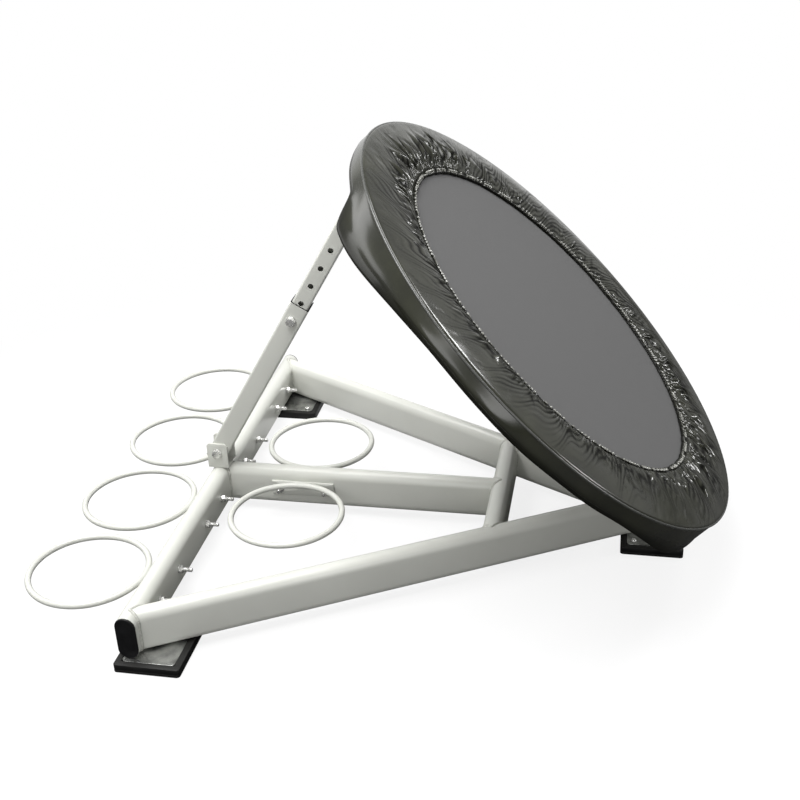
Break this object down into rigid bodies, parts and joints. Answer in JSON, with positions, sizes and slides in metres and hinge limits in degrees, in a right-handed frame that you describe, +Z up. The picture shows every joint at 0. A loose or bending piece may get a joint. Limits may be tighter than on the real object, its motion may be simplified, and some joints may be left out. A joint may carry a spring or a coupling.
{
  "type": "medicine ball rebounder",
  "caption": "Tilted round trampoline on a triangular tube frame with an adjustable strut, rubber feet and round ball rings along the rear tube and centre rail",
  "frame": {"origin": "On the floor, in the plane of symmetry, halfway between the foremost and the rearmost point", "axes": "+X to the right seen from the thrower, along the rear tube; +Y away from the thrower, towards the ball rings; +Z up"},
  "size_m": [1.136, 1.2935, 0.8075],
  "materials": {
    "powder_coat": "satin",
    "zinc": "satin",
    "spring_steel": "satin",
    "black_rubber": "matte",
    "black_plastic": "satin",
    "vinyl": "gloss",
    "mat_cloth": "matte"
  },
  "bodies": {
    "base_frame": {"rear_cross_tube": "powder_coat", "end_cap_left": "black_plastic", "end_cap_right": "black_plastic", "side_rail_left": "powder_coat", "side_rail_right": "powder_coat", "centre_rail": "powder_coat", "front_cross_tube": "powder_coat", "foot_plate_left": "powder_coat", "foot_plate_right": "powder_coat", "foot_plate_front": "powder_coat", "rubber_foot_left": "black_rubber", "rubber_foot_right": "black_rubber", "rubber_foot_front": "black_rubber", "foot_screw_left_1": "zinc", "foot_screw_right_1": "zinc", "foot_screw_front_1": "zinc", "foot_screw_front_2": "zinc", "ball_ring_rear_1": "powder_coat", "ball_ring_rear_2": "powder_coat", "ball_ring_rear_3": "powder_coat", "ball_ring_rear_4": "powder_coat", "ball_ring_inner_left": "powder_coat", "ball_ring_inner_right": "powder_coat", "ring_bolt_1": "zinc", "ring_bolt_2": "zinc", "ring_bolt_3": "zinc", "ring_bolt_4": "zinc", "ring_bolt_5": "zinc", "ring_bolt_6": "zinc", "ring_bolt_7": "zinc", "ring_bolt_8": "zinc", "inner_ring_bolt_1": "zinc", "inner_ring_bolt_2": "zinc", "strut_clevis": "powder_coat", "strut_pivot_bolt": "zinc", "strut_pivot_nut": "zinc", "hinge_bracket": "powder_coat", "hinge_bolt": "zinc", "hinge_nut": "zinc"},
    "trampoline": {"ring_frame": "powder_coat", "top_bracket": "powder_coat", "hinge_lug": "powder_coat", "mat": "mat_cloth", "spring_set": "spring_steel", "frame_pad": "vinyl"},
    "strut_outer": {"strut_outer_tube": "powder_coat", "strut_bush": "black_plastic", "adjusting_bolt": "zinc", "adjusting_nut": "zinc"},
    "strut_inner": {"strut_inner_tube": "powder_coat", "strut_top_bolt": "zinc", "strut_top_nut": "zinc"}
  },
  "joints": [
    {"name": "trampoline_tilt", "type": "hinge", "parent": "base_frame", "child": "trampoline", "pos_m": [0, -0.51995, 0.1245], "axis": [1, 0, 0], "range_deg": [-15.3, 0]},
    {"name": "strut_lean", "type": "hinge", "parent": "base_frame", "child": "strut_outer", "pos_m": [0, 0.39005, 0.136], "axis": [1, 0, 0], "range_deg": [-4.5, 0]},
    {"name": "strut_slide", "type": "slide", "parent": "strut_outer", "child": "strut_inner", "axis": [0, -0.5133, 0.8582], "range_m": [-0.215, 0]}
  ],
  "couplings": [
    {"joint": "strut_lean", "follows": "trampoline_tilt", "ratio": 0.294},
    {"joint": "strut_slide", "follows": "trampoline_tilt", "m_per_rad": 0.803}
  ]
}
